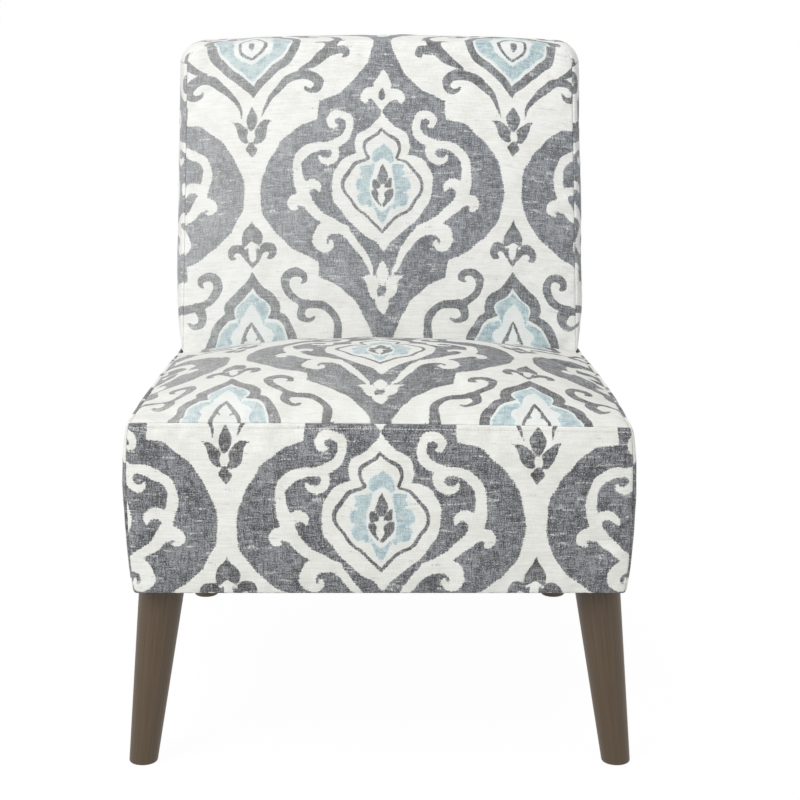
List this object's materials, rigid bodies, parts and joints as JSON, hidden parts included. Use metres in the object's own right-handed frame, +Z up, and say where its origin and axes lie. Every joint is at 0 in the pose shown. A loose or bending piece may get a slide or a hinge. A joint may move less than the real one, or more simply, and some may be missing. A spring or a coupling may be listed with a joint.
{
  "type": "armless accent chair",
  "caption": "Armless upholstered accent chair with a crowned tight seat, a padded reclined back and splayed tapered round legs.",
  "frame": {"origin": "on the floor, under the centre of the chair's bounding box", "axes": "+Z up, the chair faces -Y, +X to the right as seen from the front"},
  "size_m": [0.5776, 0.7102, 0.782],
  "materials": {
    "fabric": "printed linen-look weave",
    "fibre": "polyester fibre wadding",
    "foam": "cut polyurethane foam",
    "plywood": "raw plywood",
    "block_wood": "raw softwood",
    "fibreboard": "raw fibreboard",
    "felt": "needled felt",
    "webbing": "elastic webbing",
    "steel": "plain steel",
    "leg_wood": "satin grey-brown stain",
    "nylon": "moulded",
    "cambric": "black dust cover cloth"
  },
  "bodies": {
    "root": {"back_board": "fibreboard", "back_cover_front": "fabric", "back_cover_left": "fabric", "back_cover_rear": "fabric", "back_cover_right": "fabric", "back_cover_top": "fabric", "back_foam": "foam", "back_lower_rail": "plywood", "back_padding_left": "fibre", "back_padding_right": "fibre", "back_padding_top": "fibre", "back_post_left": "plywood", "back_post_right": "plywood", "back_top_rail": "plywood", "back_webbing_1": "webbing", "back_webbing_2": "webbing", "back_webbing_3": "webbing", "corner_block_front_left": "block_wood", "corner_block_front_right": "block_wood", "corner_block_rear_left": "block_wood", "corner_block_rear_right": "block_wood", "dust_cover": "cambric", "front_padding": "fibre", "leg_bolt_front_left": "steel", "leg_bolt_front_right": "steel", "leg_bolt_rear_left": "steel", "leg_bolt_rear_right": "steel", "leg_front_left": "leg_wood", "leg_front_right": "leg_wood", "leg_glide_front_left": "nylon", "leg_glide_front_right": "nylon", "leg_glide_rear_left": "nylon", "leg_glide_rear_right": "nylon", "leg_rear_left": "leg_wood", "leg_rear_right": "leg_wood", "seat_cover_front": "fabric", "seat_cover_left": "fabric", "seat_cover_right": "fabric", "seat_cover_top": "fabric", "seat_foam": "foam", "seat_rail_front": "plywood", "seat_rail_left": "plywood", "seat_rail_rear": "plywood", "seat_rail_right": "plywood", "seat_spring_1": "steel", "seat_spring_2": "steel", "seat_spring_3": "steel", "seat_spring_4": "steel", "side_padding_left": "fibre", "side_padding_right": "fibre", "spring_clip_front_1": "steel", "spring_clip_front_2": "steel", "spring_clip_front_3": "steel", "spring_clip_front_4": "steel", "spring_clip_rear_1": "steel", "spring_clip_rear_2": "steel", "spring_clip_rear_3": "steel", "spring_clip_rear_4": "steel", "spring_pad": "felt"}
  },
  "joints": []
}
